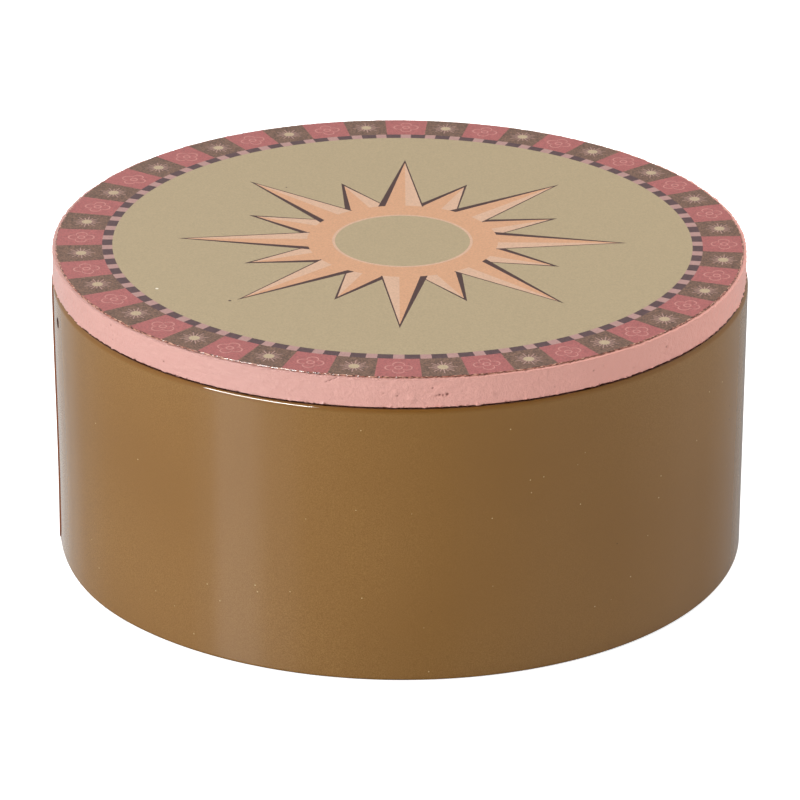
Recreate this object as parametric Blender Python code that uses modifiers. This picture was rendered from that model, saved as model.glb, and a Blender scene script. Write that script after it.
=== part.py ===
"""A round storage tin: a rolled steel box with a lift-off lid of painted board.

Units are metres, +Z is up, and the origin is the middle of the foot, on the table.
-Y is the front, and the wall's lap seam is on the left, at -X.
"""

import math

import bmesh
import bpy
from mathutils import Matrix

# How the pieces sit together
SEAT_GAP = 0.0003  # between two pieces that rest on each other
CUT_OVERRUN = 0.001  # how far a cutter reaches past what it cuts
MERGE_DISTANCE = 0.000001
ROUND_SIDES = 96
HOLE_SIDES = 20
SMOOTH_ANGLE = math.radians(30)

# Wall: one steel strip, rolled into a ring and lapped
TIN_DIAMETER = 0.150
RIM_HEIGHT = 0.0612
STEEL_THICKNESS = 0.0005
CURL_RADIUS = 0.0012  # outside of the rim's inward curl
CURL_TURN = math.radians(250)
CURL_STEPS = 10
FOOT_RADIUS = 0.0006  # outside of the tight bend at the foot
FOOT_STEPS = 3
FOOT_FLANGE_WIDTH = 0.0045  # from the wall's outside to the flange's inner edge

# Lap seam: the strip's outer end steps over its inner end
LAP_EDGE_ANGLE = math.radians(186.5)
LAP_WIDTH = 0.010
LAP_RAMP = 0.002
LAP_END_GAP = 0.0005  # from the rim's top, and from the foot bend's top
LAP_ROOT_SHARE = 0.7  # of the steel's thickness that the lap is sunk into the wall, to make one body
LAP_STEPS = 6

# Hanging hole, left from painting
HOLE_DIAMETER = 0.0024
HOLE_BELOW_RIM = 0.0058
HOLE_FROM_LAP = 0.009

# Base plate, laid on the foot flange
BASE_THICKNESS = 0.0006

# Lid board, its locating plug and its printed sheet
LID_INSET = 0.00075  # of the board's edge from the wall's outside, all round
BOARD_THICKNESS = 0.0058
BOARD_EDGE_RADIUS = 0.0004
PLUG_THICKNESS = 0.0040
PLUG_CLEARANCE = 0.0006  # all round, inside the rim's curl
PLUG_EDGE_RADIUS = 0.0006
PRINT_THICKNESS = 0.00025
PRINT_MARGIN = 0.0003  # of the board's painted edge that shows round the sheet
EDGE_SEGMENTS = 2

# Places in the tin, worked out from the sizes above
TIN_RADIUS = TIN_DIAMETER / 2
WALL_INNER_RADIUS = TIN_RADIUS - STEEL_THICKNESS
RIM_INNER_RADIUS = TIN_RADIUS - 2 * CURL_RADIUS
BASE_RADIUS = WALL_INNER_RADIUS - SEAT_GAP
BASE_BOTTOM = STEEL_THICKNESS + SEAT_GAP
BASE_TOP = BASE_BOTTOM + BASE_THICKNESS

# Places in the lid, with heights above the rim that it rests on
LID_RADIUS = TIN_RADIUS - LID_INSET
BOARD_BOTTOM = SEAT_GAP
PLUG_BOTTOM = BOARD_BOTTOM - SEAT_GAP - PLUG_THICKNESS
PLUG_RADIUS = RIM_INNER_RADIUS - PLUG_CLEARANCE
PRINT_BOTTOM = BOARD_BOTTOM + BOARD_THICKNESS + SEAT_GAP
PRINT_RADIUS = LID_RADIUS - PRINT_MARGIN

# Finishes: colour, metallic value, roughness
FINISHES = {
    "bronze_paint": ((0.27, 0.155, 0.055), 0.55, 0.38),
    "pink_paint": ((0.72, 0.36, 0.31), 0.0, 0.45),
    "printed_face": ((0.47, 0.38, 0.25), 0.0, 0.40),
}


def empty_scene():
    for thing in list(bpy.data.objects):
        bpy.data.objects.remove(thing, do_unlink=True)


def new_collection(name):
    group = bpy.data.collections.new(name)
    bpy.context.scene.collection.children.link(group)
    return group


def make_finish(name):
    colour, metallic, roughness = FINISHES[name]
    material = bpy.data.materials.new(name)
    material.use_nodes = True
    shader = material.node_tree.nodes["Principled BSDF"]
    shader.inputs["Base Color"].default_value = (*colour, 1.0)
    shader.inputs["Metallic"].default_value = metallic
    shader.inputs["Roughness"].default_value = roughness
    material.diffuse_color = (*colour, 1.0)
    return material


def add_object(name, mesh, group, finish=None):
    thing = bpy.data.objects.new(name, mesh)
    group.objects.link(thing)
    if finish is not None:
        mesh.materials.append(finish)
    return thing


def mark_as_tool(thing):
    """A cutter, or a shape that is joined to another."""
    thing.hide_render = True
    thing.display_type = "WIRE"
    return thing


def shade_round(thing):
    thing.data.shade_smooth()
    thing.data.set_sharp_from_angle(angle=SMOOTH_ANGLE)


def round_mesh(name, radius, length, sides):
    """A cylinder about its own middle, along Z."""
    mesh = bpy.data.meshes.new(name)
    shape = bmesh.new()
    bmesh.ops.create_cone(
        shape,
        cap_ends=True,
        segments=sides,
        radius1=radius,
        radius2=radius,
        depth=length,
    )
    shape.to_mesh(mesh)
    shape.free()
    return mesh


def add_disc(name, radius, thickness, bottom, group, finish):
    """A round plate that stands on the height bottom."""
    disc = add_object(name, round_mesh(name, radius, thickness, ROUND_SIDES), group, finish)
    disc.location.z = bottom + thickness / 2
    shade_round(disc)
    return disc


def round_edges(thing, radius):
    bevel = thing.modifiers.new("edges", "BEVEL")
    bevel.width = radius
    bevel.segments = EDGE_SEGMENTS
    bevel.limit_method = "ANGLE"
    bevel.angle_limit = SMOOTH_ANGLE


def arc(centre_x, centre_y, radius, start, end, steps):
    """Points along an arc, both ends included."""
    points = []
    for step in range(steps + 1):
        angle = start + (end - start) * step / steps
        points.append((centre_x + radius * math.cos(angle), centre_y + radius * math.sin(angle)))
    return points


def wall_outline():
    """(radius, height) of the wall's outside, from the curl's inner end down to the flange's inner edge."""
    curl = arc(TIN_RADIUS - CURL_RADIUS, RIM_HEIGHT - CURL_RADIUS, CURL_RADIUS, CURL_TURN, 0, CURL_STEPS)
    foot = arc(TIN_RADIUS - FOOT_RADIUS, FOOT_RADIUS, FOOT_RADIUS, 0, -math.pi / 2, FOOT_STEPS)
    return curl + foot + [(TIN_RADIUS - FOOT_FLANGE_WIDTH, 0)]


def extrude_outline(name, points, low, high, group):
    """A closed mesh over a flat outline, from the height low to the height high."""
    curve = bpy.data.curves.new(name, "CURVE")
    curve.dimensions = "2D"
    curve.fill_mode = "BOTH"
    curve.extrude = (high - low) / 2
    line = curve.splines.new("POLY")
    line.points.add(len(points) - 1)
    for point, (x, y) in zip(line.points, points):
        point.co = (x, y, 0, 1)
    line.use_cyclic_u = True
    outline = bpy.data.objects.new(name + "_outline", curve)
    group.objects.link(outline)
    outline.location.z = (low + high) / 2
    bpy.context.view_layer.update()
    seen = outline.evaluated_get(bpy.context.evaluated_depsgraph_get())
    mesh = bpy.data.meshes.new_from_object(seen)
    shape = bmesh.new()
    shape.from_mesh(mesh)
    bmesh.ops.remove_doubles(shape, verts=shape.verts, dist=MERGE_DISTANCE)
    shape.to_mesh(mesh)
    shape.free()
    solid = add_object(name, mesh, group)
    solid.matrix_world = outline.matrix_world
    bpy.data.objects.remove(outline, do_unlink=True)
    return mark_as_tool(solid)


def polar(radius, angle):
    return (radius * math.cos(angle), radius * math.sin(angle))


def lap_angles():
    """Angles of the lap's visible edge, of the inner end under it, and of the ramp's foot."""
    inner_end = LAP_EDGE_ANGLE - LAP_WIDTH / TIN_RADIUS
    return LAP_EDGE_ANGLE, inner_end, inner_end - LAP_RAMP / TIN_RADIUS


def add_lap(group):
    """The strip's outer end, a steel's thickness proud of the wall."""
    edge, inner_end, ramp_foot = lap_angles()
    root = TIN_RADIUS - STEEL_THICKNESS * LAP_ROOT_SHARE
    outside = arc(0, 0, TIN_RADIUS + STEEL_THICKNESS, edge, inner_end, LAP_STEPS)
    inside = arc(0, 0, root, ramp_foot, edge, LAP_STEPS)
    points = outside + [polar(TIN_RADIUS, ramp_foot)] + inside
    return extrude_outline("lap", points, FOOT_RADIUS + LAP_END_GAP, RIM_HEIGHT - LAP_END_GAP, group)


def add_lap_groove(group):
    """Cuts the groove inside the tin, between the strip's inner end and the ramp."""
    _, inner_end, ramp_foot = lap_angles()
    inside = WALL_INNER_RADIUS - CUT_OVERRUN
    points = [
        polar(inside, ramp_foot),
        polar(inside, inner_end),
        polar(TIN_RADIUS, inner_end),
        polar(WALL_INNER_RADIUS, ramp_foot),
    ]
    low = BASE_TOP + SEAT_GAP
    high = RIM_HEIGHT - 2 * CURL_RADIUS - LAP_END_GAP
    return extrude_outline("lap_groove", points, low, high, group)


def add_hole_cutter(group):
    """A pin across the wall, in front of the lap."""
    length = STEEL_THICKNESS + 2 * CUT_OVERRUN
    mesh = round_mesh("hanging_hole", HOLE_DIAMETER / 2, length, HOLE_SIDES)
    pin = add_object("hanging_hole", mesh, group)
    angle = LAP_EDGE_ANGLE + HOLE_FROM_LAP / TIN_RADIUS
    middle = TIN_RADIUS - STEEL_THICKNESS / 2
    turn = Matrix.Rotation(angle, 4, "Z") @ Matrix.Rotation(math.pi / 2, 4, "Y")
    place = Matrix.Translation((*polar(middle, angle), RIM_HEIGHT - HOLE_BELOW_RIM))
    pin.matrix_world = place @ turn
    return mark_as_tool(pin)


def cut_or_join(thing, tool, operation):
    boolean = thing.modifiers.new(tool.name, "BOOLEAN")
    boolean.operation = operation
    boolean.object = tool
    boolean.solver = "EXACT"


def add_wall(group, tools, finish):
    """The rolled wall: curled rim, bent foot, lap seam and hanging hole."""
    outline = wall_outline()
    mesh = bpy.data.meshes.new("wall")
    edges = [(point, point + 1) for point in range(len(outline) - 1)]
    mesh.from_pydata([(radius, 0, height) for radius, height in outline], edges, [])
    wall = add_object("wall", mesh, group, finish)
    turned = wall.modifiers.new("turned", "SCREW")
    turned.axis = "Z"
    turned.angle = 2 * math.pi
    turned.steps = ROUND_SIDES
    turned.render_steps = ROUND_SIDES
    turned.use_merge_vertices = True
    turned.merge_threshold = MERGE_DISTANCE
    turned.use_smooth_shade = True
    steel = wall.modifiers.new("steel", "SOLIDIFY")
    steel.thickness = STEEL_THICKNESS
    steel.offset = -1
    steel.use_even_offset = True
    cut_or_join(wall, add_lap(tools), "UNION")
    cut_or_join(wall, add_lap_groove(tools), "DIFFERENCE")
    cut_or_join(wall, add_hole_cutter(tools), "DIFFERENCE")
    return wall


def build_tin(group, tools, bronze):
    add_wall(group, tools, bronze)
    add_disc("base_plate", BASE_RADIUS, BASE_THICKNESS, BASE_BOTTOM, group, bronze)


def build_lid(group, pink, printed):
    """The lid's pieces hang on an empty at the rim: moving it up lifts the lid off."""
    lid = bpy.data.objects.new("lid", None)
    group.objects.link(lid)
    lid.location.z = RIM_HEIGHT
    board = add_disc("lid_board", LID_RADIUS, BOARD_THICKNESS, BOARD_BOTTOM, group, pink)
    round_edges(board, BOARD_EDGE_RADIUS)
    plug = add_disc("lid_plug", PLUG_RADIUS, PLUG_THICKNESS, PLUG_BOTTOM, group, pink)
    round_edges(plug, PLUG_EDGE_RADIUS)
    sheet = add_disc("printed_sheet", PRINT_RADIUS, PRINT_THICKNESS, PRINT_BOTTOM, group, printed)
    for piece in (board, plug, sheet):
        piece.parent = lid


def main():
    empty_scene()
    group = new_collection("storage_tin")
    tools = new_collection("shapes_for_cutting")
    finishes = {name: make_finish(name) for name in FINISHES}
    build_tin(group, tools, finishes["bronze_paint"])
    build_lid(group, finishes["pink_paint"], finishes["printed_face"])
    bpy.context.view_layer.update()


main()
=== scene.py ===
"""Looks of the storage tin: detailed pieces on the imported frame, their materials, the light and the camera.

Units are metres, +Z is up and -Y is the front. Angles run anticlockwise from +X, seen from above.
"""

import math

import bpy
import numpy as np
from mathutils import Matrix, Vector
from mathutils.geometry import delaunay_2d_cdt


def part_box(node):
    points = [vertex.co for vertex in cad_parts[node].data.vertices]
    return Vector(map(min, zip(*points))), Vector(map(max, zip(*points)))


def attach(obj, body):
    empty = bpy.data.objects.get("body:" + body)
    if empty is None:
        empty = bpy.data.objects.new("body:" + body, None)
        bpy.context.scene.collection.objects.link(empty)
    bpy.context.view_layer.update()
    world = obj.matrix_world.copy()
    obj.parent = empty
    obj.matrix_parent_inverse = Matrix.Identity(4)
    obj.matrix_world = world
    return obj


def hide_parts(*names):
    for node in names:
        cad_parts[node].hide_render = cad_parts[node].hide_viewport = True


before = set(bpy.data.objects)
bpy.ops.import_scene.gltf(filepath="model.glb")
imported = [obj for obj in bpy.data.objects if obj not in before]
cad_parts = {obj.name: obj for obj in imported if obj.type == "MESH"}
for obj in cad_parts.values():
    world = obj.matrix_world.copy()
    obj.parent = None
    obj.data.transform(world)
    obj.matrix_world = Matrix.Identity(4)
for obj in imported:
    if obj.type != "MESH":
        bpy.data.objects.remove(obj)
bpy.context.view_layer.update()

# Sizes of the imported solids
TIN_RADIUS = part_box("wall")[1].x
RIM_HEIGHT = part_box("wall")[1].z
BASE_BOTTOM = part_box("base_plate")[0].z
BASE_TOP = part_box("base_plate")[1].z
BASE_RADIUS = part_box("base_plate")[1].x
LID_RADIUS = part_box("lid_board")[1].x
PRINT_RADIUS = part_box("printed_sheet")[1].x
PRINT_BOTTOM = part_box("printed_sheet")[0].z
PRINT_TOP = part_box("printed_sheet")[1].z

# Steel strip, as in the part's source
STEEL = 0.0005
CURL_RADIUS = 0.0012
CURL_TURN = math.radians(250)
FOOT_RADIUS = 0.0006
FLANGE_WIDTH = 0.0045

# Lap seam and hanging hole
LAP_EDGE = math.radians(186.5)
LAP_WIDTH = 0.010
LAP_RAMP = 0.002
LAP_STEP = 0.00022  # how far the strip's cut end stands out
LAP_TOP_GAP = 0.0006
LAP_TOP = RIM_HEIGHT - LAP_TOP_GAP
LAP_BOTTOM = 0.0007
LAP_CORNER = 0.0012
LOW_CORNER_SHARE = 1.5
HOLE_RADIUS = 0.0012
HOLE_BELOW_RIM = 0.0058
HOLE_FROM_SEAM = 0.009
HOLE_HEIGHT = RIM_HEIGHT - HOLE_BELOW_RIM
HOLE_ANGLE = LAP_EDGE + HOLE_FROM_SEAM / TIN_RADIUS

# The rolled wall isn't quite round: it leans in near the seam
SEAM_DIP_TOP = 0.00052
SEAM_DIP_FOOT = 0.00108
SEAM_DIP_REACH = math.radians(34)
DIP_BELOW_RIM = 0.0015
FULL_DIP_BELOW_RIM = 0.050
DIP_STARTS = RIM_HEIGHT - DIP_BELOW_RIM
DIP_ENDS = RIM_HEIGHT - FULL_DIP_BELOW_RIM
WALL_WAVE = 0.00003
# Waves round the wall: how many, their height share, and their turn at the foot and per radius upwards
WAVES = ((3, 1.0, 1.0, 0.0), (5, 0.6, 0.0, 3.0), (9, 0.4, 0.0, 0.0))

# Edges that turn by more than this are shaded sharp
SHARP_STEEL = math.radians(35)
SHARP_BOARD = math.radians(50)
SHARP_PAPER = math.radians(40)

# Spacing of the wall's mesh
WALL_COLUMNS = 480
OUTER_CURL_STEPS = 36
INNER_CURL_STEPS = 28
OUTER_FOOT_STEPS = 8
INNER_FOOT_STEPS = 4
RAMP_COLUMNS = 9
LAP_COLUMNS = 17
WALL_ROW = 0.0012
FINE_ROW = 0.0002
HAIR = 0.00001  # between the two sides of a sharp step
HOLE_CELL = 0.0005
HOLE_RING = 3  # the ring of mesh points that becomes the hole's edge
HOLE_PATCH = 6  # the ring from which on the mesh is regular again
# Which of the wall's materials a face has
PAINTED_FACE = 0
CUT_FACE = 1
HOLE_FACE = 2

# Lid board
BOARD_COLUMNS = 2160
BOARD_ROWS = 46
BOARD_CORNER_ROWS = 6
SEAT_GAP = 0.00018  # between the rim and the board, as wide as the dark line in the photograph
GLUE = 0.00002
BOARD_SEAT = RIM_HEIGHT + SEAT_GAP
BOARD_TOP = PRINT_BOTTOM - GLUE
BOARD_PAINT = 0.00028  # the thick brushed paint on the side
BOARD_LOW_EDGE = 0.00014
BOARD_HIGH_EDGE = 0.00012
BOARD_SWELL = 0.00010
BOARD_LUMP = 0.00035  # the highest lumps and crumbs
BOARD_BRUSH = 0.00004
BOARD_GRIT = 0.000045
# Unevenness of the high and low edges, outwards and then upwards
HIGH_RAGGED = 0.00012
LOW_RAGGED = 0.00021
HIGH_CHIP = 0.00009
LOW_WANDER = 0.00012
# How far apart the features of the board's unevenness lie
SWELL_CELL = 0.03
STROKE_CELL = 0.005
HAIR_STROKE_CELL = 0.002
HAIR_STROKE_SHARE = 0.5
SIDE_GRIT_CELL = 0.0007
RAGGED_CELL = 0.0010
RAGGED_FINE_CELL = 0.00045
RAGGED_FINE_SHARE = 0.6
BARE_CELL = 0.0006
# Wear and painted shade, where 1 is bare: worn spots along the low edge, and painted shade on the narrow
# ledge round the sheet, against the light it catches from above
BARE_FROM = 0.35
BARE_SPREAD = 0.25
BARE_REACH_SHARE = 1.6
BARE_WEAR_SHARE = 0.85
LEDGE_SHADE_SHARE = 0.09

# Printed sheet
SHEET_COLUMNS = 2880
SHEET_RAGGED = 0.00016
INK_LIFT = 0.00001
# The print as the hand-glued sheet puts it on the lid
PRINT_SHIFT = (0.00062, 0)
PRINT_TURN = math.radians(-0.55)
FIELD_RADIUS = 0.0622
DENTIL_RADIUS = 0.0644
ORNAMENT_RADIUS = 0.0690
DENTIL_PAIRS = 72
DARK_DENTIL_SHARE = 0.58
BLOCK_PAIRS = 24
FRONT = math.radians(270)

LATTICE_ROWS = 64  # after which the rows of lattice noise repeat upwards
SCREEN_TOP = 255.0  # the brightest value of a screen colour
WHITE = (1.0, 1.0, 1.0)
NOISE_RANGE = (0.3, 0.7)  # which most values of soft noise lie in


def smoothstep(value):
    value = np.clip(value, 0.0, 1.0)
    return value * value * (3.0 - 2.0 * value)


def turn_difference(angle, other):
    """Angle minus other, between minus half a turn and half a turn."""
    return (angle - other + math.pi) % (2 * math.pi) - math.pi


def polar(radius, angle):
    return (radius * math.cos(angle), radius * math.sin(angle))


def lattice_noise(turns, height, cell, seed):
    """Smooth random values between -1 and 1 on a band round the tin, with no break where it closes."""
    count = max(3, round(2 * math.pi * TIN_RADIUS / cell))
    rows = LATTICE_ROWS
    values = np.random.RandomState(seed).uniform(-1, 1, (rows, count))
    across = (turns % 1.0) * count
    upward = height / cell
    column = np.floor(across).astype(int)
    row = np.floor(upward).astype(int)
    share = smoothstep(across - column)
    rise_share = smoothstep(upward - row)

    def level(row):
        left = values[row % rows, column % count]
        right = values[row % rows, (column + 1) % count]
        return left * (1 - share) + right * share

    return level(row) * (1 - rise_share) + level(row + 1) * rise_share


def round_body(radii, heights, bottom, top):
    """Points and faces of a closed round body from its rings, the lowest first. The two middles come last."""
    rings, columns = radii.shape
    angles = 2 * math.pi * np.arange(columns) / columns
    heights = np.broadcast_to(heights, radii.shape)
    sides = np.stack([radii * np.cos(angles), radii * np.sin(angles), heights], axis=-1).reshape(-1, 3)
    points = np.concatenate([sides, [(0, 0, bottom), (0, 0, top)]])
    middle = rings * columns
    last = middle - columns
    faces = []
    for column in range(columns):
        following = (column + 1) % columns
        for low in range(0, last, columns):
            high = low + columns
            faces.append((low + column, low + following, high + following, high + column))
        faces.append((middle, following, column))
        faces.append((middle + 1, last + column, last + following))
    return points, faces


def add_piece(name, points, faces, body, materials, face_materials=None, sharp_angle=None):
    mesh = bpy.data.meshes.new(name)
    mesh.from_pydata(np.asarray(points).reshape(-1, 3).tolist(), [], faces)
    for material in materials:
        mesh.materials.append(material)
    if face_materials is not None:
        mesh.polygons.foreach_set("material_index", np.asarray(face_materials, dtype=np.int32))
    mesh.shade_smooth()
    if sharp_angle is not None:
        mesh.set_sharp_from_angle(angle=sharp_angle)
    mesh.update()
    piece = bpy.data.objects.new(name, mesh)
    bpy.context.scene.collection.objects.link(piece)
    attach(piece, body)
    return piece


def add_values(piece, name, values):
    """One value for each mesh point, which a material reads by its name."""
    layer = piece.data.attributes.new(name, "FLOAT", "POINT")
    layer.data.foreach_set("value", np.asarray(values, dtype=np.float32))


class Graph:
    """The nodes of a material or of the world."""

    def __init__(self, owner):
        owner.use_nodes = True
        self.nodes = owner.node_tree.nodes
        self.links = owner.node_tree.links

    def give(self, socket, value):
        """Gives an input a number, a colour or the output of another node."""
        if isinstance(value, bpy.types.NodeSocket):
            self.links.new(value, socket)
        elif socket.type == "RGBA":
            socket.default_value = (*value, 1.0)
        else:
            socket.default_value = value

    def fill(self, node, **inputs):
        """Gives a node its inputs by name, with _ for a space."""
        for name, value in inputs.items():
            self.give(node.inputs[name.replace("_", " ")], value)

    def add(self, kind, **inputs):
        node = self.nodes.new("ShaderNode" + kind)
        self.fill(node, **inputs)
        return node

    def spread(self, value, low, high, out_low=0.0, out_high=1.0, shape="LINEAR"):
        """Value between low and high, spread from out_low to out_high and held at the ends."""
        node = self.add("MapRange", Value=value, From_Min=low, From_Max=high, To_Min=out_low, To_Max=out_high)
        node.interpolation_type = shape
        return node.outputs["Result"]

    def maths(self, operation, *values):
        node = self.add("Math")
        node.operation = operation
        for socket, value in zip(node.inputs, values):
            self.give(socket, value)
        return node.outputs["Value"]

    def scaled(self, colour, level):
        node = self.add("VectorMath")
        node.operation = "SCALE"
        self.give(node.inputs[0], colour)
        self.fill(node, Scale=level)
        return node.outputs["Vector"]

    def mix(self, share, first, second):
        """First colour where share is 0, second where it is 1."""
        node = self.add("Mix")
        node.data_type = "RGBA"
        for socket, value in zip((node.inputs[0], node.inputs[6], node.inputs[7]), (share, first, second)):
            self.give(socket, value)
        return node.outputs[2]


class Finish(Graph):
    """A node material: every texture is made from the object's own coordinates."""

    def __init__(self, name):
        self.material = bpy.data.materials.new(name)
        super().__init__(self.material)
        self.shader = self.nodes["Principled BSDF"]
        self.place = self.add("TexCoord").outputs["Object"]

    def set(self, **inputs):
        self.fill(self.shader, **inputs)

    def stretched(self, scales):
        return self.add("Mapping", Scale=scales, Vector=self.place).outputs["Vector"]

    def noise(self, cell, detail=2.0, roughness=0.5, place=None):
        """Soft random values about 0.5, with features about one cell across."""
        place = place or self.place
        node = self.add("TexNoise", Scale=1 / cell, Detail=detail, Roughness=roughness, Vector=place)
        return node.outputs["Fac"]

    def cells(self, cell):
        """(distance to the nearest cell's point, that cell's own random share)."""
        node = self.add("TexVoronoi", Scale=1 / cell, Vector=self.place)
        split = self.add("SeparateColor", Color=node.outputs["Color"])
        return node.outputs["Distance"], split.outputs["Red"]

    def axis(self, name):
        return self.add("SeparateXYZ", Vector=self.place).outputs[name]

    def roughen(self, cell, low, high):
        """Roughness that varies between low and high."""
        self.set(Roughness=self.spread(self.noise(cell), *NOISE_RANGE, low, high))

    def bump(self, height, depth):
        """Relief: a height of 0 to 1 stands for 0 to depth."""
        self.set(Normal=self.add("Bump", Strength=1.0, Distance=depth, Height=height).outputs["Normal"])

    def attribute(self, name):
        node = self.add("Attribute")
        node.attribute_name = name
        return node.outputs["Fac"]


def paint(red, green, blue):
    """A linear colour from the 0 to 255 values that it shows on a screen, by the usual screen curve."""
    shares = [value / SCREEN_TOP for value in (red, green, blue)]
    return tuple(v / 12.92 if v <= 0.04045 else ((v + 0.055) / 1.055) ** 2.4 for v in shares)


def darker(colour, share):
    return tuple(value * share for value in colour)


# Bronze paint on the steel
BRONZE = paint(140, 100, 49)
BRONZE_FLAKE = paint(163, 122, 68)
BRONZE_PIT = paint(70, 48, 26)
# Painted shade under the lid: a darker bronze on the curl's shoulder, and a near-black brown in the gap below
# the lid's edge
BRONZE_SHOULDER_SHADE = paint(132, 89, 34)
BRONZE_GAP_SHADE = paint(60, 30, 12)
GAP_SHADE_DEPTH = 0.00024  # how far below the rim's top the painted shade of the lid gap reaches
DUST = paint(214, 186, 132)
PEEL_CELL = 0.0011
PEEL_HEIGHT = 0.000016
FLAKE_CELL = 0.00022
DUST_CELL = 0.0035
DUST_SIZE_SHARE = 0.05
DUST_CORE_SHARE = 0.6
# A cell's random share says whether it has a pale speck, a dark one or none
PALE_DUST_FROM = 0.45
DARK_DUST_BELOW = 0.10
ABRUPT = 0.01
FLAKE_RANGE = (0.35, 0.7)
TONE_CELL = 0.05
TONE_SHARE = 1.04
BRONZE_ROUGHNESS = (0.48, 0.56)


def make_bronze(name):
    """Satin metallic paint with a fine orange peel, a clear gloss and a little dust, and painted shade near
    the rim's top: on the curl's shoulder and in the gap under the lid.
    """
    finish = Finish(name)
    flakes = finish.spread(finish.noise(FLAKE_CELL, detail=1.0), *FLAKE_RANGE)
    tone = finish.spread(finish.noise(TONE_CELL, detail=1.0), *NOISE_RANGE)
    colour = finish.mix(flakes, BRONZE, BRONZE_FLAKE)
    colour = finish.mix(tone, colour, darker(BRONZE, TONE_SHARE))
    distance, chance = finish.cells(DUST_CELL)
    speck = finish.spread(distance, DUST_SIZE_SHARE, DUST_SIZE_SHARE * DUST_CORE_SHARE)
    pale = finish.spread(chance, PALE_DUST_FROM, PALE_DUST_FROM + ABRUPT)
    dark = finish.spread(chance, DARK_DUST_BELOW, DARK_DUST_BELOW - ABRUPT)
    for picked, tint in ((pale, DUST), (dark, BRONZE_PIT)):
        colour = finish.mix(finish.maths("MULTIPLY", picked, speck), colour, tint)
    height = finish.axis("Z")
    # Painted shade: darker towards the rim's top, on the shoulder and darkest in the gap under the lid
    for depth, tint in ((CURL_RADIUS, BRONZE_SHOULDER_SHADE), (GAP_SHADE_DEPTH, BRONZE_GAP_SHADE)):
        near_rim = finish.spread(height, RIM_HEIGHT - depth, RIM_HEIGHT - depth / 2)
        colour = finish.mix(near_rim, colour, tint)
    finish.set(Base_Color=colour)
    finish.roughen(FLAKE_CELL, *BRONZE_ROUGHNESS)
    finish.set(Metallic=0.1, Specular_IOR_Level=0.1, Coat_Weight=1.0, Coat_Roughness=0.045, Coat_IOR=1.88)
    finish.bump(finish.noise(PEEL_CELL, detail=1.5), PEEL_HEIGHT)
    return finish.material


CUT_BROWN = paint(176, 108, 62)
CUT_DARK = paint(112, 56, 36)
# Painted shade: the near-black brown of the hole's side
HOLE_SHADE = paint(48, 26, 16)


def make_cut_edge(name, light, dark):
    """Cut steel under a thin red-brown wash of paint: the strip's end, and the hole's side, whose darker
    colours are painted shade inside the hole.
    """
    finish = Finish(name)
    grain = finish.noise(FLAKE_CELL, detail=3.0)
    finish.set(Base_Color=finish.mix(grain, light, dark), Metallic=0.2, Roughness=0.6)
    finish.bump(grain, PEEL_HEIGHT)
    return finish.material


# Pink paint on the board
PINK = paint(217, 165, 155)
PINK_THIN = paint(213, 160, 150)
# Painted shade: a deeper pink for the board's right side, where it lies in shade, blended in along X
PINK_SHADED_SIDE = paint(236, 169, 155)
PINK_DARK = paint(110, 46, 36)
SHADED_SIDE_FROM = -0.03
SHADED_SIDE_TO = 0.045
BRUSH_CELL = 0.004
BRUSH_STRETCH = (1.0, 1.0, 6.0)
GRIT_CELL = 0.0004
GRIT_HEIGHT = 0.00013
STREAK_RANGE = (0.35, 0.65)
PINK_ROUGHNESS = (0.38, 0.52)


def make_pink():
    """Brushed satin paint, thin and gritty over the board's sawn edge."""
    finish = Finish("pink_paint_on_board")
    streaks = finish.noise(BRUSH_CELL, detail=3.0, roughness=0.6, place=finish.stretched(BRUSH_STRETCH))
    colour = finish.mix(finish.spread(streaks, *STREAK_RANGE), PINK, PINK_THIN)
    # Painted shade: the pink deepens towards the right side, which lies in shade
    colour = finish.mix(finish.spread(finish.axis("X"), SHADED_SIDE_FROM, SHADED_SIDE_TO), colour, PINK_SHADED_SIDE)
    # Darker where worn, and on the board's top ledge as painted shade
    colour = finish.mix(finish.attribute("wear_and_shade"), colour, PINK_DARK)
    finish.set(Base_Color=colour, Coat_Weight=0.5, Coat_Roughness=0.2)
    finish.roughen(GRIT_CELL, *PINK_ROUGHNESS)
    finish.bump(finish.noise(GRIT_CELL, detail=3.0), GRIT_HEIGHT)
    return finish.material


# Inks under the clear lacquer
INKS = {
    "field": (171, 152, 118),
    "red": (166, 93, 90),
    "brown": (113, 84, 68),
    "dentil_dark": (88, 64, 66),
    "dentil_pink": (174, 134, 127),
    "petal": (194, 130, 122),
    "ray": (170, 134, 124),
    "core": (182, 160, 128),
    "peach": (203, 152, 115),
    "blush": (205, 166, 138),
    "plum": (76, 50, 46),
    "white": (240, 232, 214),
}
GRAIN_SHARES = {"brown": (0.48, 1.58), "dentil_dark": (0.75, 1.28), "red": (0.78, 1.22)}
PLAIN_GRAIN_SHARES = (0.89, 1.10)
GRAIN_CELL = 0.00037
LACQUER_CELL = 0.0025
LACQUER_HEIGHT = 0.000006
INK_ROUGHNESS = (0.42, 0.5)


def make_ink(name, shown):
    """Grainy printed ink under satin lacquer."""
    finish = Finish("print_" + name)
    colour = paint(*shown)
    grain = finish.spread(finish.noise(GRAIN_CELL), *NOISE_RANGE)
    low_share, high_share = GRAIN_SHARES.get(name, PLAIN_GRAIN_SHARES)
    finish.set(Base_Color=finish.mix(grain, darker(colour, low_share), darker(colour, high_share)))
    finish.set(Specular_IOR_Level=0.9)
    finish.roughen(GRAIN_CELL, *INK_ROUGHNESS)
    finish.bump(finish.noise(LACQUER_CELL), LACQUER_HEIGHT)
    return finish.material


FRAY_DARK = paint(92, 56, 42)
FRAY_TAN = paint(168, 106, 88)
FRAY_PALE = paint(214, 164, 140)
TAN_RANGE = (0.34, 0.44)
PALE_RANGE = (0.60, 0.66)


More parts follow.
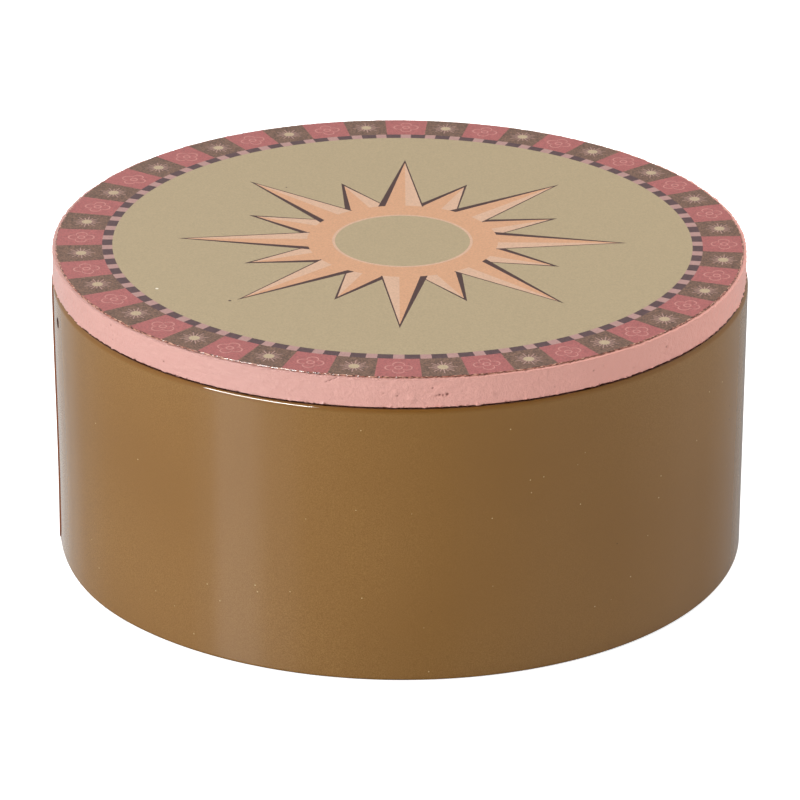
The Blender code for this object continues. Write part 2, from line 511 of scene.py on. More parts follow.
def make_frayed_paper():
    """The sheet's trimmed edge: torn ink, bare paper and beads of lacquer."""
    finish = Finish("print_trimmed_edge")
    fray = finish.attribute("fray")
    colour = finish.mix(finish.spread(fray, *TAN_RANGE), FRAY_DARK, FRAY_TAN)
    colour = finish.mix(finish.spread(fray, *PALE_RANGE), colour, FRAY_PALE)
    finish.set(Base_Color=colour, Roughness=0.4, Coat_Weight=1.0, Coat_Roughness=0.1, Coat_IOR=1.6)
    return finish.material


# Wall


def wall_heights():
    """Heights of the mesh rows between the curl and the foot, from the top down."""
    top = RIM_HEIGHT - CURL_RADIUS
    patch = HOLE_HEIGHT + HOLE_CELL * np.arange(HOLE_PATCH, -HOLE_PATCH - 1, -1)
    above = np.arange(top, patch[0] + FINE_ROW, -FINE_ROW * 2)
    below = np.arange(patch[-1] - WALL_ROW, FOOT_RADIUS + 2 * WALL_ROW, -WALL_ROW)
    near_foot = np.arange(below[-1] - FINE_ROW * 3, FOOT_RADIUS + FINE_ROW, -FINE_ROW * 2)
    return np.concatenate([above, patch, below, near_foot, [FOOT_RADIUS]])


def wall_rows(heights):
    """The steel's closed outline: radius, height, outward direction, and 1 outside or -1 inside."""
    rows = []
    curl_centre = (TIN_RADIUS - CURL_RADIUS, RIM_HEIGHT - CURL_RADIUS)
    foot_centre = (TIN_RADIUS - FOOT_RADIUS, FOOT_RADIUS)

    def add_arc(centre, radius, start, end, steps, side):
        for step in range(steps + 1):
            angle = start + (end - start) * step / steps
            out = math.cos(angle)
            up = math.sin(angle)
            rows.append((centre[0] + radius * out, centre[1] + radius * up, out, up, side))

    flange_end = TIN_RADIUS - FLANGE_WIDTH
    add_arc(curl_centre, CURL_RADIUS, CURL_TURN, 0, OUTER_CURL_STEPS, 1)
    rows.extend((TIN_RADIUS, height, 1, 0, 1) for height in heights[1:-1])
    add_arc(foot_centre, FOOT_RADIUS, 0, -math.pi / 2, OUTER_FOOT_STEPS, 1)
    rows.append((flange_end, 0, 0, -1, 1))
    rows.append((flange_end, STEEL, 0, -1, -1))
    add_arc(foot_centre, FOOT_RADIUS - STEEL, -math.pi / 2, 0, INNER_FOOT_STEPS, -1)
    rows.extend((TIN_RADIUS - STEEL, height, 1, 0, -1) for height in heights[-2:0:-1])
    add_arc(curl_centre, CURL_RADIUS - STEEL, 0, CURL_TURN, INNER_CURL_STEPS, -1)
    return np.array(rows, dtype=float)


def wall_angles():
    """Angles of the mesh columns, close together at the seam and the hole."""
    inner_end = LAP_EDGE - LAP_WIDTH / TIN_RADIUS
    ramp_foot = inner_end - LAP_RAMP / TIN_RADIUS
    hair = HAIR / TIN_RADIUS
    patch = HOLE_ANGLE + HOLE_CELL / TIN_RADIUS * np.arange(-HOLE_PATCH, HOLE_PATCH + 1)
    special = np.concatenate(
        [
            np.linspace(ramp_foot, inner_end, RAMP_COLUMNS),
            np.linspace(inner_end + hair, LAP_EDGE, LAP_COLUMNS),
            np.linspace(LAP_EDGE + hair, patch[0], RAMP_COLUMNS),
            patch[1:],
        ]
    )
    step = 2 * math.pi / WALL_COLUMNS
    regular = np.arange(special[-1] + step, special[0] + 2 * math.pi - step / 2, step)
    return np.concatenate([special, regular])


def seam_dip(angle, height):
    """How far the wall lies inside its true circle."""
    away = np.abs(turn_difference(angle, LAP_EDGE)) / SEAM_DIP_REACH
    window = np.where(away < 1, np.cos(np.minimum(away, 1) * math.pi / 2) ** 2, 0)
    down = smoothstep((DIP_STARTS - height) / (DIP_STARTS - DIP_ENDS))
    wave = 0
    for count, share, start, slant in WAVES:
        wave = wave + share * np.sin(count * angle + start + slant * height / TIN_RADIUS)
    return window * (SEAM_DIP_TOP + (SEAM_DIP_FOOT - SEAM_DIP_TOP) * down) + WALL_WAVE * wave


def lap_offsets(angle, height):
    """(rise of the outer face, rise of the inner face) at the lap."""
    inner_end = LAP_EDGE - LAP_WIDTH / TIN_RADIUS
    ramp = LAP_RAMP / TIN_RADIUS
    past_ramp = smoothstep((angle - inner_end + ramp) / ramp)
    towards_edge = smoothstep((angle - inner_end + ramp) / (LAP_EDGE - inner_end + ramp))
    outer = LAP_STEP * towards_edge * (angle <= LAP_EDGE + HAIR / TIN_RADIUS / 2)
    inner = STEEL * past_ramp * (angle <= inner_end + HAIR / TIN_RADIUS / 2)
    fine = 2 * FINE_ROW
    outer_ends = np.clip((LAP_TOP - height) / fine, 0, 1) * np.clip((height - LAP_BOTTOM + fine) / fine, 0, 1)
    low = BASE_TOP + STEEL
    high = RIM_HEIGHT - 2 * CURL_RADIUS
    inner_ends = smoothstep((high - height) / STEEL) * smoothstep((height - low) / STEEL)
    return outer * outer_ends, inner * inner_ends


def lap_corner_shift(height):
    """How far the cut edge is set back near its two ends, where the strip's corners are rounded."""
    near_top = np.clip(1 - (LAP_TOP - height) / LAP_CORNER, 0, 1)
    near_foot = np.clip(1 - (height - LAP_BOTTOM) / (LAP_CORNER * LOW_CORNER_SHARE), 0, 1)
    return LAP_CORNER * (1 - np.sqrt(1 - near_top**2)) + LAP_CORNER * near_foot


def hole_middle(rows, angles):
    """The mesh column at the hole's middle, and its rows outside and inside."""
    column = int(np.argmin(np.abs(angles - HOLE_ANGLE)))
    away = np.abs(rows[:, 1] - HOLE_HEIGHT) + (rows[:, 2] < 1)
    outer_row = int(np.argmin(away + (rows[:, 4] < 0)))
    inner_row = int(np.argmin(away + (rows[:, 4] > 0)))
    return column, outer_row, inner_row


def round_hole(turned, height, column, row, direction):
    """Moves the mesh points about the hole's middle, so that one ring of them lies on its round edge."""
    for i in range(-HOLE_PATCH, HOLE_PATCH + 1):
        for j in range(-HOLE_PATCH, HOLE_PATCH + 1):
            ring = max(abs(i), abs(j))
            if ring == 0:
                continue
            share = np.clip((ring - HOLE_RING) / (HOLE_PATCH - HOLE_RING), 0, 1)
            round_cell = HOLE_RADIUS * ring / HOLE_RING / math.hypot(i, j)
            cell = round_cell * (1 - share) + HOLE_CELL * share
            turned[column + i, row - j * direction] = HOLE_ANGLE + i * cell / TIN_RADIUS
            height[column + i, row - j * direction] = HOLE_HEIGHT + j * cell


def hole_loop():
    """The mesh points on the hole's edge, in order, as steps across and up from its middle."""
    s = HOLE_RING
    right = [(s, j) for j in range(-s, s)]
    top = [(i, s) for i in range(s, -s, -1)]
    left = [(-s, j) for j in range(s, -s, -1)]
    low = [(i, -s) for i in range(-s, s)]
    return right + top + left + low


def wall_faces(columns, count, hole_column, outer_row, inner_row, cut_column, cut_rows):
    """(faces, the number of each one's material): round the wall, and through the hole."""
    faces = []
    marks = []
    for column in range(columns):
        here = column * count
        there = (column + 1) % columns * count
        at_hole = -HOLE_RING <= column - hole_column < HOLE_RING
        for row in range(count):
            if at_hole and any(-HOLE_RING <= row - middle < HOLE_RING for middle in (outer_row, inner_row)):
                continue
            under = (row + 1) % count
            faces.append((here + row, here + under, there + under, there + row))
            marks.append(CUT_FACE if column == cut_column and cut_rows[row] else PAINTED_FACE)
    loop = hole_loop()
    for first, second in zip(loop, loop[1:] + loop[:1]):
        outside = [(hole_column + i) * count + outer_row - j for i, j in (first, second)]
        inside = [(hole_column + i) * count + inner_row + j for i, j in (second, first)]
        faces.append((*outside, *inside))
        marks.append(HOLE_FACE)
    return faces, marks


def make_wall(bronze, cut_edge, hole_side):
    rows = wall_rows(wall_heights())
    angles = wall_angles()
    angle, radius = np.meshgrid(angles, rows[:, 0], indexing="ij")
    height = np.broadcast_to(rows[:, 1], angle.shape).copy()
    out = rows[:, 2]
    up = rows[:, 3]
    side = rows[:, 4]
    outer, inner = lap_offsets(angle, height)
    rise = np.where(side > 0, outer, inner)
    near_edge = np.clip(1 - np.abs(turn_difference(angle, LAP_EDGE)) * TIN_RADIUS / (3 * LAP_CORNER), 0, 1)
    turned = angle - near_edge * lap_corner_shift(height) / TIN_RADIUS * (side > 0)
    hole_column, outer_row, inner_row = hole_middle(rows, angles)
    round_hole(turned, height, hole_column, outer_row, 1)
    round_hole(turned, height, hole_column, inner_row, -1)
    radius = radius + rise * out - seam_dip(turned, height)
    height = height + rise * up
    points = np.stack([radius * np.cos(turned), radius * np.sin(turned), height], axis=-1)
    cut_column = int(np.argmin(np.abs(angles - LAP_EDGE)))
    cut_rows = (rise[cut_column] > 0) & (side > 0)
    faces, marks = wall_faces(*angle.shape, hole_column, outer_row, inner_row, cut_column, cut_rows)
    materials = [bronze, cut_edge, hole_side]
    wall = add_piece("wall_shell", points, faces, "tin", materials, marks, SHARP_STEEL)
    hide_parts("wall")


BASE_RING_SHARES = (0.25, 0.5, 0.75, 0.93)


def make_base(bronze):
    """The base plate: it follows the wall's inside all round."""
    angles = 2 * math.pi * np.arange(WALL_COLUMNS) / WALL_COLUMNS
    reach = BASE_RADIUS - seam_dip(angles, (BASE_BOTTOM + BASE_TOP) / 2)
    edge = (BASE_TOP - BASE_BOTTOM) / 4
    rings = [(reach * share, BASE_BOTTOM) for share in BASE_RING_SHARES]
    rings += [(reach - edge, BASE_BOTTOM), (reach, BASE_BOTTOM + edge)]
    rings += [(reach, BASE_TOP - edge), (reach - edge, BASE_TOP)]
    rings += [(reach * share, BASE_TOP) for share in reversed(BASE_RING_SHARES)]
    radii = np.array([radius for radius, _ in rings])
    heights = np.array([[height] for _, height in rings])
    points, faces = round_body(radii, heights, BASE_BOTTOM, BASE_TOP)
    base = add_piece("base_disc", points, faces, "tin", [bronze], None, SHARP_STEEL)
    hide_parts("base_plate")


# Lid board

# Marks on the board's edge: angle in degrees, height share of the band, size across, depth, darkness
PIT_SIZE = 0.0003
FRONT_PITS = (
    (275.3, 0.68, 0.9, 0.6, 0.9),
    (275.9, 0.41, 0.9, 0.9, 0.8),
    (276.4, 0.43, 1.3, 1.2, 0.9),
    (276.9, 0.42, 1.2, 1.0, 0.8),
    (277.6, 0.44, 1.6, 1.4, 1.0),
    (276.8, 0.36, 1.4, -1.0, 0.0),
    (269.8, 0.42, 1.0, 0.9, 0.6),
    (267.6, 0.50, 0.8, 0.6, 0.4),
    (266.8, 0.60, 0.6, 0.4, 0.3),
    (272.1, 0.33, 3.4, -1.6, 0.0),
    (269.6, 0.52, 3.0, -1.2, 0.0),
    (285.0, 0.36, 2.6, -1.2, 0.1),
    (229.7, 0.36, 0.9, 0.7, 0.8),
)
SCRATCH_FROM = (258.7, 0.80)
SCRATCH_TO = (260.4, 0.99)
SCRATCH_STEPS = 9
SCRATCH_SIZE_SHARE = 0.55
# How fast a mark's depth and darkness fall off from its middle
MARK_FALL = 1.5
MARK_DARK_FALL = 1.2
MARK_FALL_START = 1.15
# Crumbs on the low edge: angle in degrees and height share
FRONT_CRUMBS = (
    (269.8, 0.02),
    (270.4, 0.0),
    (268.9, 0.03),
    (257.2, 0.01),
    (257.8, 0.0),
    (252.0, 0.02),
    (299.0, 0.02),
)
SCRATCH_DARKNESS = 0.9
CRUMB_DARKNESS = 0.15
# The seeded marks: sizes, depths and heights as shares, and where the pits lie, in degrees
RANDOM_CRUMBS = 240
CRUMB_SIZE_SHARES = (0.7, 1.5)
CRUMB_HEIGHT_SHARE = 0.03
CRUMB_DEPTH_SHARE = 0.7
CRUMB_DARKNESSES = (0.1, 0.9)
RANDOM_PITS = 90
PITS_FROM = 292
PITS_SPAN = 290
PIT_HEIGHT_SHARES = (0.05, 0.95)
PIT_SIZE_SHARES = (0.5, 1.3)
PIT_DEPTH_SHARES = (0.5, 0.4, -0.25)
PIT_DARKEST = 0.9


def board_marks():
    """All pits and bumps: the photograph's, and seeded ones round the rest of the edge."""
    marks = []
    for angle, share, size, depth, dark in FRONT_PITS:
        marks.append((math.radians(angle), share, size * PIT_SIZE, depth * PIT_SIZE / 2, dark))
    size = PIT_SIZE * SCRATCH_SIZE_SHARE
    for angle, share in np.linspace(SCRATCH_FROM, SCRATCH_TO, SCRATCH_STEPS):
        marks.append((math.radians(angle), share, size, size, SCRATCH_DARKNESS))
    for angle, share in FRONT_CRUMBS:
        marks.append((math.radians(angle), share, PIT_SIZE, -PIT_SIZE / 2, CRUMB_DARKNESS))
    chance = np.random.RandomState(seed=7)
    for _ in range(RANDOM_CRUMBS):
        size = PIT_SIZE * chance.uniform(*CRUMB_SIZE_SHARES)
        angle = chance.uniform(0, 2 * math.pi)
        share = chance.uniform(0, CRUMB_HEIGHT_SHARE)
        marks.append((angle, share, size, -size * CRUMB_DEPTH_SHARE, chance.choice(CRUMB_DARKNESSES)))
    for _ in range(RANDOM_PITS):
        angle = math.radians(chance.uniform(PITS_FROM, PITS_FROM + PITS_SPAN))
        share = chance.uniform(*PIT_HEIGHT_SHARES)
        size = PIT_SIZE * chance.uniform(*PIT_SIZE_SHARES)
        depth = size * chance.choice(PIT_DEPTH_SHARES)
        marks.append((angle, share, size, depth, chance.uniform(0, PIT_DARKEST) if depth > 0 else 0.0))
    return marks


def ragged(turn, seed):
    """The uneven line of a sawn and painted edge."""
    level = np.zeros_like(turn)
    coarse = lattice_noise(turn, level, RAGGED_CELL, seed)
    return coarse + RAGGED_FINE_SHARE * lattice_noise(turn, level, RAGGED_FINE_CELL, seed + 1)


def make_board(pink):
    """The sawn and hand-painted board: rippled sides, pits, crumbs and uneven edges."""
    turns = np.arange(BOARD_COLUMNS) / BOARD_COLUMNS
    corners = np.linspace(0, math.pi / 2, BOARD_CORNER_ROWS)
    side_heights = np.linspace(BOARD_SEAT + BOARD_LOW_EDGE, BOARD_TOP - BOARD_HIGH_EDGE, BOARD_ROWS)
    rows = []
    for corner in corners[:-1]:
        inset = BOARD_LOW_EDGE * (1 - math.sin(corner))
        rows.append((inset, BOARD_SEAT + BOARD_LOW_EDGE * (1 - math.cos(corner))))
    rows.extend((0, height) for height in side_heights)
    for corner in corners[1:]:
        inset = BOARD_HIGH_EDGE * (1 - math.cos(corner))
        rows.append((inset, BOARD_TOP - BOARD_HIGH_EDGE * (1 - math.sin(corner))))
    rows = np.array(rows)
    turn, inset = np.meshgrid(turns, rows[:, 0])
    height = np.broadcast_to(rows[:, 1:], turn.shape)
    angle = turn * 2 * math.pi
    level = np.zeros_like(height)
    swell = lattice_noise(turn, level, SWELL_CELL, seed=1)
    brush = lattice_noise(turn, height, STROKE_CELL, seed=2)
    brush += HAIR_STROKE_SHARE * lattice_noise(turn, height, HAIR_STROKE_CELL, seed=3)
    grit = lattice_noise(turn, height, SIDE_GRIT_CELL, seed=4)
    shift = BOARD_SWELL * swell / 2 + BOARD_BRUSH * brush + BOARD_GRIT * grit
    wear_and_shade = np.zeros_like(turn)
    full = BOARD_TOP - BOARD_SEAT
    for mark_angle, share, size, depth, dark in board_marks():
        across = turn_difference(angle, mark_angle) * LID_RADIUS
        upward = height - (BOARD_SEAT + full * share)
        distance = np.sqrt(across**2 + upward**2) / size
        shift -= depth * np.exp(-(distance**2) * MARK_FALL)
        wear_and_shade = np.maximum(wear_and_shade, dark * smoothstep(MARK_FALL_START - distance * MARK_DARK_FALL))
    # The edges: uneven height and small chips
    near_low = smoothstep(1 - (height - BOARD_SEAT) / (2 * BOARD_LOW_EDGE))
    near_high = smoothstep(1 - (BOARD_TOP - height) / (2 * BOARD_HIGH_EDGE))
    ragged_high = ragged(turn, seed=5)
    ragged_low = ragged(turn, seed=8)
    shift += HIGH_RAGGED * ragged_high * near_high + LOW_RAGGED * ragged_low * near_low
    height = height + LOW_WANDER * ragged_low * near_low - HIGH_CHIP * np.maximum(-ragged_high, 0) * near_high
    bare = smoothstep((lattice_noise(turn, height, BARE_CELL, seed=21) - BARE_FROM) / BARE_SPREAD)
    near_foot = smoothstep(BARE_REACH_SHARE - (height - BOARD_SEAT) / BOARD_LOW_EDGE)
    wear_and_shade = np.maximum(wear_and_shade, BARE_WEAR_SHARE * bare * near_foot)
    # Painted shade: the top ledge is darkened evenly all round
    wear_and_shade = np.maximum(wear_and_shade, LEDGE_SHADE_SHARE * near_high)
    radius = LID_RADIUS + BOARD_PAINT - BOARD_SWELL - inset + np.minimum(shift, BOARD_LUMP)
    points, faces = round_body(radius, height, BOARD_SEAT, BOARD_TOP)
    board = add_piece("painted_board", points, faces, "lid", [pink], None, SHARP_BOARD)
    add_values(board, "wear_and_shade", [*wear_and_shade.reshape(-1), 0, 0])
    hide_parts("lid_board")


# Print

STAR_OUTER = 0.0465
STAR_SHORT = 0.0345
STAR_INNER = 0.0205
STAR_POINTS = 8
HUB_RADIUS = 0.0145
OUTLINE = 0.0006
SHADE_SHARE = 3.2  # how much thicker the outline is on a point's shaded side
TIP_SHARE = 3.0  # how much further the outline reaches at a point's tip
RIDGE_SHARE = 0.1  # how far the ridge of a point lies from its middle
BORDER_REACH = 0.0765  # past the sheet's edge, which cuts the border off
SAME_POINT = 0.0000001
BORDER_QUARTERS = 4
RING_STEP = math.radians(0.75)  # between points on a circle's outline


def ring_points(radius, start, end):
    """Points on a circle from the angle start to the angle end."""
    count = max(2, math.ceil(abs(end - start) / RING_STEP) + 1)
    return [polar(radius, a) for a in np.linspace(start, end, count)]


def sector(inner, outer, start, end):
    return ring_points(outer, start, end) + ring_points(inner, end, start)


def circle(radius, centre=(0.0, 0.0), count=96):
    turns = [2 * math.pi * i / count for i in range(count)]
    return [(centre[0] + radius * math.cos(turn), centre[1] + radius * math.sin(turn)) for turn in turns]


def moved(point, angle, shift):
    """A point turned about the origin, then shifted."""
    cos = math.cos(angle)
    sin = math.sin(angle)
    x, y = point
    return (x * cos - y * sin + shift[0], x * sin + y * cos + shift[1])


def placed(points, angle, radius):
    """Points drawn about the origin, +X outwards, moved to a place on the border."""
    return [moved(point, angle, polar(radius, angle)) for point in points]


RAY_LONG = 0.0030
RAY_SHORT = 0.0023
RAY_TIP = 0.00011
RAY_ROOT = 0.0009
RAY_NECK_SHARE = 1.5
ROOT_TURN_SHARE = 0.95
NECK_TURN_SHARE = 0.48
CORE_SHARE = 1.25
RAYS = 16


def ray_star():
    points = []
    for ray in range(RAYS):
        angle = 2 * math.pi * ray / RAYS
        reach = RAY_LONG if ray % 2 == 0 else RAY_SHORT
        half = math.pi / RAYS
        points.append(polar(RAY_ROOT, angle - half * ROOT_TURN_SHARE))
        points.append(polar(RAY_ROOT * RAY_NECK_SHARE, angle - half * NECK_TURN_SHARE))
        points.append(polar(reach, angle - RAY_TIP / reach))
        points.append(polar(reach, angle + RAY_TIP / reach))
        points.append(polar(RAY_ROOT * RAY_NECK_SHARE, angle + half * NECK_TURN_SHARE))
    return points


PETAL_REACH = 0.0029
PETAL_WAIST = 0.0016
LINE_WIDTH = 0.00032
PETAL_STEPS = 56
LOBE_POWER = 0.7
SMALL_CIRCLE = 20  # points on a circle inside an ornament


def quatrefoil(inset):
    points = []
    for step in range(PETAL_STEPS):
        angle = 2 * math.pi * step / PETAL_STEPS
        lobe = abs(math.cos(2 * angle)) ** LOBE_POWER
        points.append(polar(PETAL_WAIST + (PETAL_REACH - PETAL_WAIST) * lobe - inset, angle))
    return points


def border_regions():
    """Checked border with dentils inside it: (outline, ink, piece)."""
    flower = (
        (quatrefoil(0), "petal"),
        (quatrefoil(LINE_WIDTH), "red"),
        (circle(RAY_ROOT, count=SMALL_CIRCLE), "petal"),
        (circle(RAY_ROOT - LINE_WIDTH, count=SMALL_CIRCLE), "red"),
    )
    star = ((ray_star(), "ray"), (circle(RAY_ROOT * CORE_SHARE, count=SMALL_CIRCLE), "core"))
    kinds = (("red", flower), ("brown", star))
    regions = []
    block = math.pi / BLOCK_PAIRS
    for number in range(2 * BLOCK_PAIRS):
        ground, ornament = kinds[number % 2]
        angle = FRONT + number * block
        piece = f"printed_border_{number * BORDER_QUARTERS // (2 * BLOCK_PAIRS) + 1}"
        square = sector(DENTIL_RADIUS, BORDER_REACH, angle - block / 2, angle + block / 2)
        regions.append((square, ground, piece))
        for outline, ink in ornament:
            regions.append((placed(outline, angle, ORNAMENT_RADIUS), ink, piece))
    pair = 2 * math.pi / DENTIL_PAIRS
    light = pair * (1 - DARK_DENTIL_SHARE)
    for number in range(DENTIL_PAIRS):
        middle = FRONT + number * pair
        piece = f"printed_border_{number * BORDER_QUARTERS // DENTIL_PAIRS + 1}"
        pale = sector(FIELD_RADIUS, DENTIL_RADIUS, middle - light / 2, middle + light / 2)
        dark = sector(FIELD_RADIUS, DENTIL_RADIUS, middle + light / 2, middle + pair - light / 2)
        regions.append((pale, "dentil_pink", piece))
        regions.append((dark, "dentil_dark", piece))
    return regions


def star_regions():
    """A sixteen-pointed compass star round an open middle, each point shaded on one side."""
    regions = []
    gap = math.pi / STAR_POINTS
    half = gap / 2
    thin = OUTLINE / STAR_INNER
    for reach, turn in ((STAR_SHORT, 0.5), (STAR_OUTER, 0.0)):
        for number in range(STAR_POINTS):
            angle = FRONT + (number + turn) * 2 * gap
            left = polar(STAR_INNER, angle - half)
            right = polar(STAR_INNER, angle + half)
            tip = polar(reach, angle)
            outer_left = polar(STAR_INNER - OUTLINE, angle - half - thin)
            outer_tip = polar(reach + OUTLINE * TIP_SHARE, angle)
            outer_right = polar(STAR_INNER - OUTLINE, angle + half + thin * SHADE_SHARE)
            regions.append(([outer_left, outer_tip, outer_right], "plum"))
            regions.append(([left, tip, right], "peach"))
            regions.append(([left, tip, polar(STAR_INNER, angle - half * RIDGE_SHARE)], "blush"))
    regions.append((circle(STAR_INNER, count=192), "peach"))
    regions.append((circle(HUB_RADIUS + OUTLINE, count=144), "blush"))
    regions.append((circle(HUB_RADIUS, count=144), "field"))
    return [(outline, ink, "printed_star") for outline, ink in regions]


# Small marks on the print: place, radius and ink
SPECKS = (
    ((-0.0353, -0.0343), 0.00034, "plum"),
    ((-0.0508, -0.0280), 0.00034, "white"),
    ((-0.0250, 0.0310), 0.00022, "plum"),
)


def make_print(inks):
    """The ink layer in a few pieces, cut exactly along the outlines of its regions. Later ones lie on top."""
    regions = border_regions()
    regions.append((circle(FIELD_RADIUS, count=480), "field", "printed_field"))
    regions.extend(star_regions())
    outlines = [ink_outline()]
    outlines += [[moved(point, PRINT_TURN, PRINT_SHIFT) for point in outline] for outline, _, _ in regions]
    for place, radius, ink in SPECKS:
        regions.append((None, ink, "printed_field"))
        outlines.append(circle(radius, place, count=10))
    points = []
    loops = []
    for outline in outlines:
        loops.append(list(range(len(points), len(points) + len(outline))))
        points.extend(Vector(point) for point in outline)
    made, _, faces, _, _, origins = delaunay_2d_cdt(points, [], loops, 1, SAME_POINT)
    names = list(inks)
    pieces = {}
    for face, origin in zip(faces, origins):
        if 0 in origin and len(origin) > 1:
            _, ink, piece = regions[max(origin) - 1]
            pieces.setdefault(piece, []).append((face, names.index(ink)))
    for name, parts in pieces.items():
        used = sorted({index for face, _ in parts for index in face})
        order = {index: number for number, index in enumerate(used)}
        flat = [(made[index].x, made[index].y, PRINT_TOP) for index in used]
        kept = [tuple(order[index] for index in face) for face, _ in parts]
        marks = [mark for _, mark in parts]
        add_piece(name, flat, kept, "lid", list(inks.values()), marks)


# The sheet's trimmed edge
FRAY_CELL = 0.0005
FRAY_FINE_CELL = 0.00025
WANDER_CELL = 0.05
INK_SHORT = 0.00008  # the ink ends at least this far inside the paper
INK_TORN = 0.00028
CHAMFER = 0.000136
UPRIGHT_SHARE = 0.2
SHEET_RIM = 0.003  # where the sheet's flat middle starts, inside its edge
SHEET_ROWS = 4
JAG_SHARE = 0.08
# The edge lies inside the sheet's radius by shares of its raggedness
INSET_SHARE = 1.2
COARSE_SHARE = 0.48
FINE_SHARE = 0.20
WANDER_SHARE = 0.4
EDGE_SEED = 11


def sheet_radius(turns):
    """The edge's radius at each turn: it wanders a little, and is rough in between."""
    level = np.zeros_like(turns)
    coarse = COARSE_SHARE * lattice_noise(turns, level, FRAY_CELL, EDGE_SEED)
    fine = FINE_SHARE * lattice_noise(turns, level, FRAY_FINE_CELL, EDGE_SEED + 1)
    wander = WANDER_SHARE * lattice_noise(turns, level, WANDER_CELL, EDGE_SEED + 2)
    return PRINT_RADIUS - SHEET_RAGGED * (INSET_SHARE - coarse - fine - wander)


def ink_outline():
    """The line where the ink ends, torn back here and there from the sheet's edge."""
    turns = np.arange(SHEET_COLUMNS) / SHEET_COLUMNS
    level = np.zeros_like(turns)
    coarse = lattice_noise(turns, level, FRAY_CELL, seed=31)
    torn = np.maximum(coarse, lattice_noise(turns, level, FRAY_FINE_CELL, seed=32))
    radius = sheet_radius(turns) - CHAMFER - INK_SHORT - INK_TORN * np.maximum(torn, 0) ** 2
    return [polar(r, 2 * math.pi * turn) for r, turn in zip(radius, turns)]


def make_sheet(frayed):
    """The sheet itself, with its hand-trimmed edge."""
    turns = np.arange(SHEET_COLUMNS) / SHEET_COLUMNS
    chance = np.random.RandomState(seed=17)
    radius = sheet_radius(turns)
    top = PRINT_TOP - INK_LIFT
    radii = []
    fray = []
    levels = np.linspace(PRINT_BOTTOM, top, SHEET_ROWS)
    for row, height in enumerate(levels):
        jag = CHAMFER * JAG_SHARE * chance.uniform(-1, 1, SHEET_COLUMNS)
        lean = max(0, (height - PRINT_BOTTOM) / (top - PRINT_BOTTOM) - UPRIGHT_SHARE) / (1 - UPRIGHT_SHARE)
        radii.append(np.minimum(radius + jag - CHAMFER * lean, PRINT_RADIUS))
        fray.append(0.5 + 0.5 * lattice_noise(turns, np.full_like(turns, height), FRAY_CELL, seed=41 + row))
    radii.append(np.full_like(turns, PRINT_RADIUS - SHEET_RIM))
    fray.append(fray[-1])
    heights = np.array([[height] for height in (*levels, top)])
    points, faces = round_body(np.array(radii), heights, PRINT_BOTTOM, top)
    sheet = add_piece("paper_sheet", points, faces, "lid", [frayed], None, SHARP_PAPER)
    add_values(sheet, "fray", np.concatenate(fray + [[0.5, 0.5]]))
    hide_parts("printed_sheet")


# Floor, light and camera

FLOOR_HALF = 4.0
FLOOR_COLOUR = (0.86, 0.86, 0.86)
FLOOR_GLOW = 0.62  # added for the camera alone
FLOOR_MIRROR_SHARE = 0.88  # how much of the studio the polished table throws back on the tin's gloss
FLOOR_POLISH = 0.08
# Polish shows at a low slant: in full up to 30 degrees from the table's plane, and not from 38 on
FULLY_MIRRORED = math.sin(math.radians(30))
STEEPEST_MIRRORED = math.sin(math.radians(38))
FLOOR_HAZE = 0.01
LIGHT_TARGET = Vector((0, 0, 0.035))
LIGHT_DISTANCE = 0.9
# The studio's level at each azimuth, in degrees from +X: a bright panel on the left, dark at the front
WORLD_LEVELS = (
    (0, 0.80),
    (20, 0.90),
    (33, 0.80),
    (42, 0.90),
    (54, 1.05),
    (61, 1.15),
    (70, 1.35),
    (80, 1.15),
    (90, 0.40),
    (98, 1.35),
    (105, 2.70),
    (116, 2.30),
    (124, 1.75),
    (141, 1.00),
    (160, 0.72),
    (180, 0.75),
    (196, 0.80),
    (204, 1.20),
    (212, 2.55),
    (219, 2.45),
    (230, 1.20),
    (243, 0.52),
    (257, 0.36),
    (283, 0.28),
    (297, 0.42),
    (326, 0.64),
    (345, 0.68),
    (360, 0.80),
)
GLOSS_SHARE = 0.28  # how bright the studio is in a gloss

# The studio is darker overhead
ZENITH_SHARE = 0.35
DARKER_FROM = math.sin(math.radians(32))
DARKEST_FROM = math.sin(math.radians(62))


def studio_level(graph, direction):
    """A grey level that changes smoothly with the azimuth of a direction, and falls overhead."""
    split = graph.add("SeparateXYZ", Vector=direction)
    turn = graph.maths("ARCTAN2", split.outputs["Y"], split.outputs["X"])
    share = graph.maths("FRACT", graph.maths("DIVIDE", turn, 2 * math.pi))
    ramp = graph.add("ValToRGB", Fac=share)
    ramp.color_ramp.interpolation = "EASE"
    stops = ramp.color_ramp.elements
    for azimuth, _ in WORLD_LEVELS[1:-1]:
        stops.new(azimuth / 360)
    for stop, (azimuth, level) in zip(stops, WORLD_LEVELS):
        stop.position = azimuth / 360
        stop.color = (level, level, level, 1)
    overhead = graph.spread(split.outputs["Z"], DARKER_FROM, DARKEST_FROM, 1.0, ZENITH_SHARE, "SMOOTHSTEP")
    return graph.scaled(ramp.outputs["Color"], overhead)


